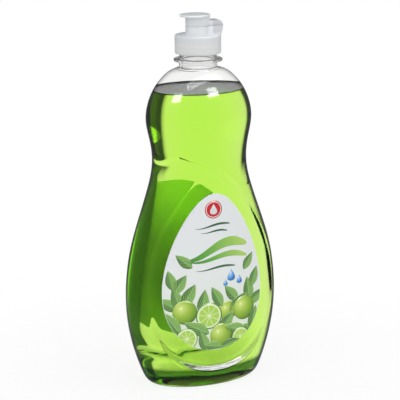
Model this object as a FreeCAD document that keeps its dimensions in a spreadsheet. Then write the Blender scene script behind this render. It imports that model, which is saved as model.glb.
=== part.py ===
# Dish soap bottle: a clear blown bottle with an oval waisted body, a pressed label panel
# on the front and the back, green soap inside and a screwed-on flip-top cap.
# Millimetres. The origin is the centre of the foot, +Z runs up the bottle, the front
# label faces -Y, the thumb lip of the lid points to -X and its hinge to +X.
import FreeCAD, Part
import os
import Sketcher
from FreeCAD import Vector

doc = FreeCAD.newDocument("soap_bottle")

# Driving dimensions: name and value
SIZES = [
    # Walls, clearances and how far a cutting form runs past what it cuts
    ("body_wall", 0.6), ("soap_gap", 0.12), ("thread_gap", 0.3), ("plug_gap", 0.08),
    ("parting_gap", 0.15), ("label_gap", 0.08), ("cap_seat", 0.2), ("cut_margin", 1.0),
    # Foot: flat ring round a shallow dome
    ("foot_ring", 4.0), ("dome_height", 3.5),
    # Pressed label panels
    ("panel_half_depth", 26.5), ("panel_reach", 60.0),
    ("curve_low_height", 10.0), ("curve_low_radius", 134.0),
    ("curve_high_height", 160.0), ("curve_high_radius", 52.0),
    ("panel_top", 157.0), ("panel_bottom", 14.5), ("panel_point_angle", 38.0),
    # Labels
    ("label_top", 139.0), ("label_bottom", 28.0), ("label_half_width", 35.5),
    ("label_narrowing", 0.29), ("label_film", 0.12),
    # Soap
    ("fill_height", 206.0),
    # Neck
    ("neck_root", 221.5), ("neck_root_radius", 13.2), ("bore_radius", 10.85),
    ("neck_low_radius", 12.9), ("neck_radius", 12.5), ("neck_top", 242.0),
    ("ring_radius", 16.5), ("ring_bottom", 225.9), ("ring_thick", 1.6), ("ring_bevel", 0.4),
    ("thread_depth", 1.1), ("thread_pitch", 3.2), ("thread_turns", 1.4),
    ("thread_foot", 1.8), ("thread_crest", 0.8), ("thread_start", 233.4), ("thread_sink", 0.2),
    # Cap base
    ("skirt_radius", 15.7), ("skirt_bottom", 231.0), ("skirt_round", 0.8),
    ("deck_thick", 1.3), ("deck_rise", 1.0), ("deck_round", 0.9),
    ("plug_depth", 3.2), ("plug_wall", 1.0),
    ("turret_radius", 8.25), ("turret_wall", 1.25), ("parting_height", 6.0),
    ("nozzle_radius", 4.4), ("nozzle_height", 3.0), ("nozzle_wall", 2.3), ("nozzle_bevel", 0.5),
    # Hinge tower
    ("tower_half_width", 5.5), ("tower_foot_reach", 15.0), ("hinge_reach", 16.6),
    ("tower_top_reach", 14.7), ("tower_lid_height", 3.3),
    # Flip lid
    ("lid_height", 7.8), ("lid_roof", 1.5), ("lid_wall", 1.2), ("lid_round", 0.5),
    ("disc_radius", 10.35), ("disc_overhang", 0.15),
    ("pin_tip_radius", 1.45), ("pin_root_radius", 1.75), ("pin_entry", 1.5),
]

# Oval stations of the blown body from the foot up: name, height, half width, half depth,
# and which way the inner skin moves from it: up from the foot, down from the shoulder
STATIONS = [
    ("foot", 0.0, 34.0, 20.0, "up"),
    ("heel", 2.5, 39.9, 24.5, "up"),
    ("flank_low", 8.0, 43.4, 26.7, "level"),
    ("flank", 18.0, 47.2, 28.8, "level"),
    ("hip_low", 35.0, 51.9, 30.8, "level"),
    ("hip", 56.0, 54.6, 32.2, "level"),
    ("hip_high", 76.0, 54.0, 32.4, "level"),
    ("side_low", 96.0, 50.8, 31.9, "level"),
    ("side", 116.0, 44.7, 30.7, "level"),
    ("side_high", 136.0, 37.8, 28.9, "level"),
    ("waist", 157.0, 33.2, 27.3, "level"),
    ("chest_low", 172.0, 34.6, 27.4, "level"),
    ("chest", 187.0, 37.3, 27.9, "level"),
    ("chest_high", 199.0, 35.2, 27.2, "level"),
    ("shoulder", 209.0, 30.2, 24.4, "down"),
    ("shoulder_high", 215.5, 24.6, 20.6, "down"),
    ("shoulder_top", 219.3, 19.6, 16.8, "down"),
]

# Crease of the label panel from its point down: name, height, half width
CREASE = [
    ("crease_high", 149.0, 11.0),
    ("crease_upper", 138.0, 21.0),
    ("crease_middle", 121.0, 31.5),
    ("crease_side", 100.0, 41.5),
    ("crease_wide", 70.0, 45.8),
    ("crease_lower", 43.0, 41.5),
    ("crease_low", 27.0, 32.0),
    ("crease_foot", 18.0, 19.0),
]

sizes = doc.addObject("Spreadsheet::Sheet", "Sizes")
rows = list(SIZES)
for name, height, half_width, half_depth, skin in STATIONS:
    rows += [(name + "_height", height), (name + "_half_width", half_width),
             (name + "_half_depth", half_depth)]
for name, height, half_width in CREASE:
    rows += [(name + "_height", height), (name + "_half_width", half_width)]
for number, (alias, value) in enumerate(rows, start=1):
    sizes.set("A%d" % number, alias)
    sizes.set("B%d" % number, str(value))
    sizes.setAlias("B%d" % number, alias)
doc.recompute()


def size(alias):
    """Value of one cell of the sheet."""
    return float(sizes.get(alias))


def cells(expression):
    """Expression in which each word is an alias of the sheet."""
    words = []
    for word in expression.split():
        words.append("Sizes." + word if word[0].isalpha() else word)
    return " ".join(words)


def bind(thing, **expressions):
    """Tie properties of an object to the sheet."""
    for name, expression in expressions.items():
        thing.setExpression(name.replace("__", "."), cells(expression))


def add(kind, name, **expressions):
    thing = doc.addObject(kind, name)
    thing.Label = name
    bind(thing, **expressions)
    return thing


def feature(name, shape):
    thing = doc.addObject("Part::Feature", name)
    thing.Label = name
    thing.Shape = shape
    return thing


def fuse(name, base, tool):
    thing = add("Part::Fuse", name)
    thing.Base, thing.Tool = base, tool
    return thing


def cut(name, base, tool):
    thing = add("Part::Cut", name)
    thing.Base, thing.Tool = base, tool
    return thing


def common(name, base, tool):
    thing = add("Part::Common", name)
    thing.Base, thing.Tool = base, tool
    return thing


# Blown body

def crease_outline(inset):
    """Face in the XZ plane inside the panel's crease, larger by the inset."""
    side = [Vector(size(name + "_half_width") + inset, 0, size(name + "_height"))
            for name, height, half_width in CREASE]
    point = Vector(0, 0, size("panel_top") + inset)
    low = Vector(0, 0, size("panel_bottom") - inset)
    leave = FreeCAD.Rotation(Vector(0, 1, 0), size("panel_point_angle")).multVec(Vector(1, 0, 0))
    right = Part.BSplineCurve()
    right.interpolate(Points=[point] + side + [low], InitialTangent=leave,
                      FinalTangent=Vector(-1, 0, 0))
    right_edge = right.toShape()
    left_edge = right_edge.mirror(Vector(0, 0, 0), Vector(1, 0, 0))
    wire = Part.Wire([right_edge, left_edge])
    return Part.Face(wire)


def panel_curve(name, swell):
    """Solid whose front is the curve of the panel, flatter towards the foot."""
    rings = []
    for level in ("low", "high"):
        radius = "curve_" + level + "_radius"
        rings.append(add("Part::Circle", name + "_" + level, Radius=radius + " + " + swell,
                         Placement__Base__y=radius + " - panel_half_depth",
                         Placement__Base__z="curve_" + level + "_height"))
    loft = add("Part::Loft", name)
    loft.Sections = rings
    loft.Solid = True
    loft.Ruled = True
    return loft


def blown_form(name, inset, inset_value):
    """Solid form of the blown body, smaller all round by the inset."""
    ovals = []
    shift = {"up": " + ( " + inset + " )", "level": "", "down": " - ( " + inset + " )"}
    for station, height, half_width, half_depth, skin in STATIONS:
        oval = add("Part::Ellipse", name + "_" + station,
                   MajorRadius=station + "_half_width - ( " + inset + " )",
                   MinorRadius=station + "_half_depth - ( " + inset + " )",
                   Placement__Base__z=station + "_height" + shift[skin])
        ovals.append(oval)
    top_radius = "neck_root_radius" if inset == "0" else "bore_radius"
    ovals.append(add("Part::Ellipse", name + "_neck_root",
                     MajorRadius=top_radius, MinorRadius=top_radius,
                     Placement__Base__z="neck_root" + shift["down"]))
    loft = add("Part::Loft", name + "_loft")
    loft.Sections = ovals
    loft.Solid = True
    loft.Ruled = False
    dome = add("Part::Ellipsoid", name + "_dome", Angle1="0",
               Radius1="dome_height + ( " + inset + " )",
               Radius2="foot_half_width - foot_ring + ( " + inset + " )",
               Radius3="foot_half_depth - foot_ring + ( " + inset + " )")
    form = cut(name + "_domed", loft, dome)
    curve = panel_curve(name + "_curve", "0 - ( " + inset + " )")
    for side, turn in (("front", 0), ("back", 180)):
        prism = feature(name + "_" + side + "_crease",
                        crease_outline(inset_value).extrude(Vector(0, -size("panel_reach"), 0)))
        press = cut(name + "_" + side + "_press", prism, curve)
        press.Placement = FreeCAD.Placement(Vector(0, 0, 0), FreeCAD.Rotation(Vector(0, 0, 1), turn))
        form = cut(name + "_" + side, form, press)
    return form


outside = blown_form("outside", "0", 0.0)
inside = blown_form("inside", "body_wall", size("body_wall"))
soap_form = blown_form("soap", "body_wall + soap_gap", size("body_wall") + size("soap_gap"))

# Sketches of turned and moulded pieces


def sketch(body, name, plane="XZ_Plane", lift=None):
    """Empty sketch on one of the body's own origin planes."""
    flat = [item for item in body.Origin.OriginFeatures if item.Role == plane][0]
    drawn = body.newObject("Sketcher::SketchObject", name)
    drawn.AttachmentSupport = [(flat, "")]
    drawn.MapMode = "FlatFace"
    if lift:
        bind(drawn, AttachmentOffset__Base__z=lift)
    return drawn


def outline(drawn, corners):
    """Closed polygon whose corners are pairs of expressions."""
    count = len(corners)
    start = [FreeCAD.Rotation(Vector(0, 0, 1), 360.0 * number / count).multVec(Vector(9, 0, 0))
             for number in range(count)]
    for number in range(count):
        drawn.addGeometry(Part.LineSegment(start[number], start[(number + 1) % count]), False)
    for number in range(count):
        following = (number + 1) % count
        drawn.addConstraint(Sketcher.Constraint("Coincident", number, 2, following, 1))
    for number, place in enumerate(corners):
        for kind, expression in zip(("DistanceX", "DistanceY"), place):
            made = drawn.addConstraint(Sketcher.Constraint(kind, -1, 1, number, 1, 1.0))
            drawn.setExpression("Constraints[%d]" % made, cells(expression))


def circle(drawn, centre, radius):
    """Circle whose centre is on the sketch's X axis."""
    drawn.addGeometry(Part.Circle(Vector(1, 0, 0), Vector(0, 0, 1), 5), False)
    drawn.addConstraint(Sketcher.Constraint("PointOnObject", 0, 3, -1))
    along = drawn.addConstraint(Sketcher.Constraint("DistanceX", -1, 1, 0, 3, 1.0))
    drawn.setExpression("Constraints[%d]" % along, cells(centre))
    across = drawn.addConstraint(Sketcher.Constraint("Radius", 0, 5.0))
    drawn.setExpression("Constraints[%d]" % across, cells(radius))


def turned(body, kind, name, corners):
    """Revolution or groove of a closed outline round the Z axis."""
    drawn = sketch(body, name + "_outline")
    outline(drawn, corners)
    made = body.newObject("PartDesign::" + kind, name)
    made.Profile = drawn
    made.ReferenceAxis = (drawn, ["V_Axis"])
    made.Angle = 360
    drawn.Visibility = False
    return made


def block(body, name, corners, half_width):
    """Pad of a side outline, as far to the front as to the back."""
    drawn = sketch(body, name + "_outline")
    outline(drawn, corners)
    made = body.newObject("PartDesign::Pad", name)
    made.Profile = drawn
    made.SideType = "Symmetric"
    bind(made, Length=half_width + " * 2")
    return made


def rounded(body, name, base, radius, wanted):
    """Fillet of the wanted edges of a feature."""
    doc.recompute()
    edges = ["Edge%d" % (number + 1) for number, edge in enumerate(base.Shape.Edges) if wanted(edge)]
    made = body.newObject("PartDesign::Fillet", name)
    made.Base = (base, edges)
    bind(made, Radius=radius)
    return made


def ring_at(radius, height):
    """Test for a round edge about the Z axis."""
    def wanted(edge):
        if edge.Curve.TypeId != "Part::GeomCircle":
            return False
        return abs(edge.Curve.Radius - radius) < 0.01 and abs(edge.Curve.Center.z - height) < 0.01
    return wanted


# Neck finish: throat, carrying ring, straight neck and screw thread

neck = add("PartDesign::Body", "neck_finish")
ring_top = "ring_bottom + ring_thick"
turned(neck, "Revolution", "neck_turned", [
    ("0", "neck_root - body_wall"), ("neck_low_radius", "neck_root - body_wall"),
    ("neck_low_radius", "ring_bottom"), ("ring_radius - ring_bevel", "ring_bottom"),
    ("ring_radius", "ring_bottom + ring_bevel"), ("ring_radius", ring_top + " - ring_bevel"),
    ("ring_radius - ring_bevel", ring_top), ("neck_radius", ring_top),
    ("neck_radius", "neck_top"), ("0", "neck_top")])

thread_root = size("neck_radius") - size("thread_sink")
thread_low = size("thread_start")
thread_profile = Part.makePolygon([
    Vector(thread_root, 0, thread_low - size("thread_foot") / 2),
    Vector(size("neck_radius") + size("thread_depth"), 0, thread_low - size("thread_crest") / 2),
    Vector(size("neck_radius") + size("thread_depth"), 0, thread_low + size("thread_crest") / 2),
    Vector(thread_root, 0, thread_low + size("thread_foot") / 2),
    Vector(thread_root, 0, thread_low - size("thread_foot") / 2)])
thread_path = Part.makeHelix(size("thread_pitch"), size("thread_pitch") * size("thread_turns"),
                             size("neck_radius"))
thread_path.translate(Vector(0, 0, thread_low))
thread = feature("thread", Part.Wire(thread_path).makePipeShell([thread_profile], True, True))

# Bottle: the blown body with its neck, hollow down to the dome of the foot

bore = add("Part::Cylinder", "bore", Radius="bore_radius",
           Height="neck_top - neck_root + body_wall + cut_margin * 2",
           Placement__Base__z="neck_root - body_wall - cut_margin")
outer_skin = fuse("outer_skin", fuse("body_and_neck", outside, neck), thread)
hollow = fuse("hollow", inside, bore)
bottle = cut("bottle", outer_skin, hollow)

# Soap: fills the body up to the fill height

filled = add("Part::Box", "filled", Length="hip_half_width * 4", Width="hip_half_depth * 4",
             Height="fill_height", Placement__Base__x="0 - hip_half_width * 2",
             Placement__Base__y="0 - hip_half_depth * 2")
soap = common("liquid_soap", soap_form, filled)

# Labels: thin film, egg-shaped, bent round the pressed panels


def label_outline():
    """Egg-shaped face in the XZ plane, narrower at the top."""
    middle = (size("label_top") + size("label_bottom")) / 2
    half = (size("label_top") - size("label_bottom")) / 2
    steps = 24
    points = []
    for number in range(steps):
        turn = FreeCAD.Rotation(Vector(0, 1, 0), 360.0 * number / steps).multVec(Vector(0, 0, 1))
        width = size("label_half_width") * turn.x * (1 - size("label_narrowing") * turn.z)
        points.append(Vector(width, 0, middle + half * turn.z))
    curve = Part.BSplineCurve()
    curve.interpolate(Points=points, PeriodicFlag=True)
    return Part.Face(Part.Wire([curve.toShape()]))


label_prism = feature("label_prism", label_outline().extrude(Vector(0, -size("panel_reach"), 0)))
film = [panel_curve("label_outer", "label_gap + label_film"), panel_curve("label_inner", "label_gap")]
label_sheet = cut("label_sheet", film[0], film[1])
front_label = common("front_label", label_prism, label_sheet)
back_label = add("Part::Mirroring", "back_label")
back_label.Source = front_label
back_label.Normal = Vector(0, 1, 0)

# Cap base: skirt, deck, plug ring, collar with the pouring nozzle and the foot of the hinge tower

deck_under = "neck_top + cap_seat"
deck_edge = deck_under + " + deck_thick"
parting = deck_edge + " + parting_height"
nozzle_top = parting + " + nozzle_height"
skirt_bore = "neck_radius + thread_depth + thread_gap"
plug_radius = "bore_radius - plug_gap"
channel_radius = "turret_radius - turret_wall"

cap_base = add("PartDesign::Body", "cap_base")
cap_turned = turned(cap_base, "Revolution", "cap_turned", [
    ("0", "skirt_bottom"), ("skirt_radius", "skirt_bottom"), ("skirt_radius", deck_edge),
    ("turret_radius", deck_edge + " + deck_rise"), ("turret_radius", parting),
    ("nozzle_radius", parting), ("nozzle_radius", nozzle_top + " - nozzle_bevel"),
    ("nozzle_radius - nozzle_bevel", nozzle_top), ("0", nozzle_top)])
skirt_edge = rounded(cap_base, "skirt_edge", cap_turned, "skirt_round",
                     ring_at(size("skirt_radius"), size("skirt_bottom")))
deck_height = size("neck_top") + size("cap_seat") + size("deck_thick")
rounded(cap_base, "deck_edge", skirt_edge, "deck_round", ring_at(size("skirt_radius"), deck_height))
block(cap_base, "tower_foot", [
    ("turret_radius / 2", deck_under + " + deck_thick / 2"),
    ("tower_foot_reach", deck_under + " + deck_thick / 2"),
    ("hinge_reach", parting), ("turret_radius / 2", parting)], "tower_half_width")
turned(cap_base, "Groove", "cap_hollow", [
    ("0", "skirt_bottom - cut_margin"), (skirt_bore, "skirt_bottom - cut_margin"), (skirt_bore, deck_under),
    (plug_radius, deck_under), (plug_radius, deck_under + " - plug_depth"),
    (plug_radius + " - plug_wall", deck_under + " - plug_depth"),
    (plug_radius + " - plug_wall", deck_under), (channel_radius, deck_under),
    (channel_radius, parting + " - turret_wall"),
    ("nozzle_radius - nozzle_wall", parting + " - turret_wall"),
    ("nozzle_radius - nozzle_wall", nozzle_top + " + cut_margin"), ("0", nozzle_top + " + cut_margin")])

# Flip lid: upper half of the turret with the thumb disc, closing pin and hinge block

lid_low = parting + " + parting_gap"
lid_under = parting + " + lid_height - lid_roof"


def disc_edge(edge):
    """Round edge of the thumb disc, top or bottom."""
    if edge.Curve.TypeId != "Part::GeomCircle":
        return False
    return abs(edge.Curve.Radius - size("disc_radius")) < 0.01


flip_lid = add("PartDesign::Body", "flip_lid")
disc_sketch = sketch(flip_lid, "disc_outline", "XY_Plane", lid_under)
circle(disc_sketch, "turret_radius + disc_overhang - disc_radius", "disc_radius")
disc = flip_lid.newObject("PartDesign::Pad", "thumb_disc")
disc.Profile = disc_sketch
bind(disc, Length="lid_roof")
rounded(flip_lid, "disc_round", disc, "lid_round", disc_edge)
turned(flip_lid, "Revolution", "lid_turned", [
    ("0", lid_low), ("turret_radius", lid_low), ("turret_radius", lid_under + " + lid_roof / 2"),
    ("0", lid_under + " + lid_roof / 2")])
block(flip_lid, "tower_head", [
    ("turret_radius / 2", lid_low), ("hinge_reach", lid_low),
    ("tower_top_reach", parting + " + tower_lid_height"),
    ("turret_radius / 2", parting + " + tower_lid_height")], "tower_half_width")
turned(flip_lid, "Groove", "lid_hollow", [
    ("0", lid_low + " - cut_margin"), ("turret_radius - lid_wall", lid_low + " - cut_margin"),
    ("turret_radius - lid_wall", lid_under), ("0", lid_under)])
turned(flip_lid, "Revolution", "closing_pin", [
    ("0", nozzle_top + " - pin_entry"), ("pin_tip_radius", nozzle_top + " - pin_entry"),
    ("pin_root_radius", lid_under), ("pin_root_radius", lid_under + " + lid_roof / 2"),
    ("0", lid_under + " + lid_roof / 2")])

# Check every object, then write each piece

doc.recompute()
PIECES = [bottle, soap, front_label, back_label, cap_base, flip_lid]
for thing in doc.Objects:
    if "Invalid" in thing.State or "Error" in thing.State:
        raise RuntimeError("failed: " + thing.Name)
os.makedirs("parts", exist_ok=True)
for piece in PIECES:
    shape = piece.Shape
    if shape.isNull() or not shape.isValid():
        raise RuntimeError("bad shape: " + piece.Label)
    print(piece.Label, len(shape.Solids), round(shape.Volume / 1000, 3))
    shape.exportStep("parts/" + piece.Label + ".step")
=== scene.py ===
"""A clear bottle of green dish soap with a white flip-top cap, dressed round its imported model.
Lengths are in millimetres and become metres through MM. Colours are linear.
The front label faces -Y, and the hinge of the lid is at +X."""
import math

import bmesh
import bpy
import numpy as np
from mathutils import Matrix, Vector


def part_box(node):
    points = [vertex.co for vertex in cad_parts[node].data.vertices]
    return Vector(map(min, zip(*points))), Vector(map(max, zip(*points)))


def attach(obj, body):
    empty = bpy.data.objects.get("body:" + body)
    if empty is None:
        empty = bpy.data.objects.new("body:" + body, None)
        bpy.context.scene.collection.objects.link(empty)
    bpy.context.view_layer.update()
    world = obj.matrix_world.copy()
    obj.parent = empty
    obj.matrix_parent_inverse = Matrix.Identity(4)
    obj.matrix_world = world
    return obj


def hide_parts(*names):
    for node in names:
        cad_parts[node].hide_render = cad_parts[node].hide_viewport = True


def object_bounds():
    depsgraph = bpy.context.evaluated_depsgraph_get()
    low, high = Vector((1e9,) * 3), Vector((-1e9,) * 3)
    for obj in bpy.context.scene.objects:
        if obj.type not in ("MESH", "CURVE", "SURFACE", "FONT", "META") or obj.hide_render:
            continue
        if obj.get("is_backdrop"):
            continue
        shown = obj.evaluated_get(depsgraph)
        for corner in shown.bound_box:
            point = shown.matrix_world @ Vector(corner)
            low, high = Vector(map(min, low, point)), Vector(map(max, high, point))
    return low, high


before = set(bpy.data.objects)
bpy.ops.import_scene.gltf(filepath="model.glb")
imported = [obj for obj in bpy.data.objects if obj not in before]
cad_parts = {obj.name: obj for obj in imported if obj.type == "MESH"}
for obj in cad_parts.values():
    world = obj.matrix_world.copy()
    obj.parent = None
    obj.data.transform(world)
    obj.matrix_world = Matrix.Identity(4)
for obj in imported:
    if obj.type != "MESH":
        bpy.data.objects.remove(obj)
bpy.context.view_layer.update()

MM = 0.001

# Camera: it looks down a little on the front of the bottle from the left, and leans a trifle,
# as in the photograph.

VIEW_TURN = math.radians(22.6)
CAMERA_BACK = 1040 * MM
CAMERA_HEIGHT = 387 * MM
CAMERA_AIM = (0.25 * MM, 0.0, 128.5 * MM)
CAMERA_LEAN = math.radians(-0.66)

camera = bpy.data.objects.new("camera", bpy.data.cameras.new("camera"))
camera.data.lens = 139.5
camera.location = (-CAMERA_BACK * math.sin(VIEW_TURN), -CAMERA_BACK * math.cos(VIEW_TURN), CAMERA_HEIGHT)
gaze = (Vector(CAMERA_AIM) - camera.location).to_track_quat("-Z", "Y").to_matrix()
camera.rotation_euler = (gaze @ Matrix.Rotation(CAMERA_LEAN, 3, "Z")).to_euler()
bpy.context.scene.collection.objects.link(camera)
bpy.context.scene.camera = camera

# Bottle: one piece of clear plastic, stretched and blown in a mould. It is oval with a waist, has
# a panel for a label pressed into its front and its back, and a dome under its foot. The neck above
# the carrying ring is moulded thick and takes the cap's thread.

# Oval stations from the foot up: height, half width, half depth
STATIONS = np.array([
    (0.0, 34.0, 20.0), (2.5, 39.9, 24.5), (8.0, 43.4, 26.7), (18.0, 47.2, 28.8), (35.0, 51.9, 30.8),
    (56.0, 54.58, 32.2), (76.0, 54.0, 32.4), (96.0, 50.8, 31.9), (116.0, 44.7, 30.7),
    (136.0, 37.8, 28.9), (157.0, 33.2, 27.3), (172.0, 34.6, 27.4), (187.0, 37.3, 27.9),
    (199.0, 35.2, 27.2), (209.0, 30.2, 24.4), (215.5, 24.6, 20.6), (219.3, 19.6, 16.8),
    (221.0, 14.6, 14.0)])
# Crease of a label panel from its point down to its lowest place: height, half width
CREASE = np.array([
    (157.0, 0.0), (149.0, 11.0), (138.0, 21.0), (121.0, 31.5), (100.0, 41.5), (70.0, 45.8),
    (43.0, 41.5), (27.0, 32.0), (18.0, 19.0), (14.5, 0.0)])
CREASE_POINT_ANGLE = math.radians(38)
# Half the width of the step at the crease, and the height of the bead beside it, both by height
CREASE_SOFTNESS = np.array([(0, 1.7), (28, 1.7), (50, 4.0), (95, 4.0), (112, 2.0), (135, 1.2), (160, 1.0)])
CREASE_BEAD = np.array([(0, 0.7), (30, 0.7), (50, 0.0), (95, 0.0), (115, 0.3), (145, 0.3), (160, 0.1)])
SOFTEST = 4.0
BEAD_REACH = 2.2
# The bead presses in more than it stands out, and dies away where the panel is hardly pressed in
BEAD_OUT = 0.4
BEAD_MORE_IN = 0.8
BEAD_TURN = 6.0
BEAD_START = 0.2
BEAD_FADE = 0.5
PRESS_FADE = 0.05
# Middle line of a panel, and its radius across at two heights: height, radius
PANEL_HALF_DEPTH = 26.5
PANEL_LOW = (10.0, 134.0)
PANEL_HIGH = (160.0, 52.0)
FOOT_RING = 4.0
DOME_HEIGHT = 3.5
BODY_WALL = 0.6
# Lengths along the body in which the wall turns from level to upright and back
FOOT_TURN = 12.0
SHOULDER_TURN = 14.0
FILL_HEIGHT = 206.0
MENISCUS = 0.9
COLUMNS = 168
ROW_STEP = 1.9
HEEL_STEP = 0.9
HEEL_LENGTH = 16.0


def curve_through(knots, values, start=None, end=None):
    """Smooth cubic through values at knots, with the slope at either end if it is given."""
    gap = np.diff(knots)
    slope = np.diff(values) / gap
    count = len(knots)
    system = np.zeros((count, count))
    right = np.zeros(count)
    system[0, 0] = system[-1, -1] = 1.0
    for k in range(1, count - 1):
        system[k, k - 1:k + 2] = gap[k - 1], 2 * (gap[k - 1] + gap[k]), gap[k]
        right[k] = 6 * (slope[k] - slope[k - 1])
    if start is not None:
        system[0, :2] = 2 * gap[0], gap[0]
        right[0] = 6 * (slope[0] - start)
    if end is not None:
        system[-1, -2:] = gap[-1], 2 * gap[-1]
        right[-1] = 6 * (end - slope[-1])
    bend = np.linalg.solve(system, right)

    def value(t):
        k = np.clip(np.searchsorted(knots, t) - 1, 0, count - 2)
        after, before = t - knots[k], knots[k + 1] - t
        cubic = (bend[k] * before ** 3 + bend[k + 1] * after ** 3) / (6 * gap[k])
        low = values[k] / gap[k] - bend[k] * gap[k] / 6
        high = values[k + 1] / gap[k] - bend[k + 1] * gap[k] / 6
        return cubic + low * before + high * after

    return value


def run_length(points):
    """Length along a line of points, at each of them."""
    return np.concatenate([[0], np.cumsum(np.hypot(*np.diff(points, axis=0).T))])


body_run = run_length(STATIONS[:, :2])
BODY_END = body_run[-1]
body_height, body_half_width, body_half_depth = (
    curve_through(body_run, STATIONS[:, k]) for k in range(3))

FINE_STEPS = 2000
runs = np.linspace(0, BODY_END, FINE_STEPS)
WET_END = float(np.interp(FILL_HEIGHT + MENISCUS, body_height(runs), runs))

# Distance in from the crease, negative outside it, worked out once on a grid seen square on
CHART_STEP = 0.5
CHART_WIDTH = 60
CHART_SPAN = (-4, 226)
CREASE_STEPS = 300
crease_run = run_length(CREASE)
crease_at = np.linspace(0, crease_run[-1], CREASE_STEPS)
crease_z = curve_through(crease_run, CREASE[:, 0], -math.sin(CREASE_POINT_ANGLE), 0.0)(crease_at)
crease_x = curve_through(crease_run, CREASE[:, 1], math.cos(CREASE_POINT_ANGLE), -1.0)(crease_at)
chart_x = np.arange(0, CHART_WIDTH, CHART_STEP)
chart_z = np.arange(*CHART_SPAN, CHART_STEP)
across = (chart_x[:, None] - crease_x) ** 2
along = (chart_z[:, None] - crease_z) ** 2
crease_chart = np.sqrt(np.stack([np.min(row + along, axis=1) for row in across]))
crease_width = np.interp(chart_z, crease_z[::-1], crease_x[::-1], left=-1.0, right=-1.0)
crease_chart = np.where(chart_x[:, None] < crease_width, crease_chart, -crease_chart)


def inside_crease(x, z):
    """Distance in from the crease of the label panel, seen square on, negative outside it."""
    u = np.clip(np.abs(x) / CHART_STEP, 0, len(chart_x) - 1.001)
    v = np.clip((z - chart_z[0]) / CHART_STEP, 0, len(chart_z) - 1.001)
    i, j = u.astype(int), v.astype(int)
    u, v = u - i, v - j
    low = crease_chart[i, j] * (1 - u) + crease_chart[i + 1, j] * u
    high = crease_chart[i, j + 1] * (1 - u) + crease_chart[i + 1, j + 1] * u
    return low * (1 - v) + high * v


def panel_depth(x, z, out=0.0):
    """Distance of the pressed panel from the middle of the bottle, grown outwards."""
    share = (z - PANEL_LOW[0]) / (PANEL_HIGH[0] - PANEL_LOW[0])
    radius = PANEL_LOW[1] + share * (PANEL_HIGH[1] - PANEL_LOW[1])
    grown = radius + out
    return PANEL_HALF_DEPTH - radius + np.sqrt(np.maximum(grown ** 2 - x ** 2, 0))


def smooth(t):
    """Rises smoothly from 0 at 0 to 1 at 1."""
    t = np.clip(t, 0, 1)
    return t * t * (3 - 2 * t)


def blown_skin(angle, run, inset):
    """Points on the blown body, on the dome below run -1 and on the foot ring below run 0."""
    dome = np.clip(run + 2, 0, 1)
    ring = np.clip(run + 1, 0, 1)
    t = np.maximum(run, 0)
    foot_shrink = FOOT_RING * (1 - ring)
    half_width = body_half_width(t) - inset - foot_shrink
    half_depth = body_half_depth(t) - inset - foot_shrink
    lift = inset * smooth(1 - t / FOOT_TURN) - inset * smooth(1 - (BODY_END - t) / SHOULDER_TURN)
    z = body_height(t) + lift
    x = half_width * dome * np.sin(angle)
    y = half_depth * dome * np.cos(angle)
    arch = (DOME_HEIGHT + inset) * np.sqrt(np.maximum(1 - dome ** 2, 0))
    z = np.where(run < -1, np.maximum(arch, z), z)
    spare = np.abs(y) - panel_depth(x, z, -inset)
    spare = 0.5 * (spare + np.sqrt(spare ** 2 + PRESS_FADE))
    softness = np.interp(z, CREASE_SOFTNESS[:, 0], CREASE_SOFTNESS[:, 1])
    inside = inside_crease(x, z) + inset
    bead = np.interp(z, CREASE_BEAD[:, 0], CREASE_BEAD[:, 1]) * smooth((spare - BEAD_START) / BEAD_FADE)
    bead *= inside / BEAD_REACH * np.exp(0.5 - 0.5 * (inside / BEAD_REACH) ** 2)
    bead *= BEAD_OUT + BEAD_MORE_IN * smooth(inside / BEAD_TURN + 0.5)
    press = smooth(inside / (2 * softness) + 0.5) * spare + bead
    press = np.where(run > 0, press, 0)
    return np.stack([x, -np.sign(y) * (np.abs(y) - press), z], axis=1)


# Rows from the middle of the dome to the foot ring, then up the heel, the wet wall and the dry wall
FOOT_STEPS = [-1.96, -1.9, -1.8, -1.65, -1.5, -1.35, -1.22, -1.12, -1.05, -1.01, -0.8, -0.4]
wet_rows = int((WET_END - HEEL_LENGTH) / ROW_STEP)
wet_steps = FOOT_STEPS + list(np.arange(0, HEEL_LENGTH, HEEL_STEP))
wet_steps += list(np.linspace(HEEL_LENGTH, WET_END, wet_rows))
dry_steps = list(np.arange(WET_END + HEEL_STEP, BODY_END - HEEL_STEP / 2, HEEL_STEP))


def rounded_line(corners, turns=5):
    """Points of a line with rounded corners: each corner is radius, height and its rounding."""
    points = []
    for k, (r, z, rounding) in enumerate(corners):
        here = Vector((r, z))
        if not rounding:
            points.append(here)
            continue
        back = (Vector(corners[k - 1][:2]) - here).normalized()
        on = (Vector(corners[k + 1][:2]) - here).normalized()
        half = math.acos(max(-1, min(1, back.dot(on)))) / 2
        reach = rounding / math.tan(half)
        start, end = here + back * reach, here + on * reach
        centre = here + (back + on).normalized() * (rounding / math.sin(half))
        first, last = start - centre, end - centre
        swing = first.angle_signed(last)
        for n in range(turns + 1):
            turned = Matrix.Rotation(-swing * n / turns, 2) @ first
            points.append(centre + turned)
    return points


# Neck from the shoulder up to the lip and down the bore: radius, height, rounding
NECK_LINE = [
    (14.6, 221.0, 0), (12.95, 221.5, 1.1), (12.9, 225.9, 0.5), (16.5, 225.9, 0.45),
    (16.5, 227.5, 0.45), (12.5, 227.5, 0.5), (12.5, 242.0, 0.4), (10.85, 242.0, 0.4),
    (10.85, 221.6, 1.5), (14.0, 220.4, 0)]


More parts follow.
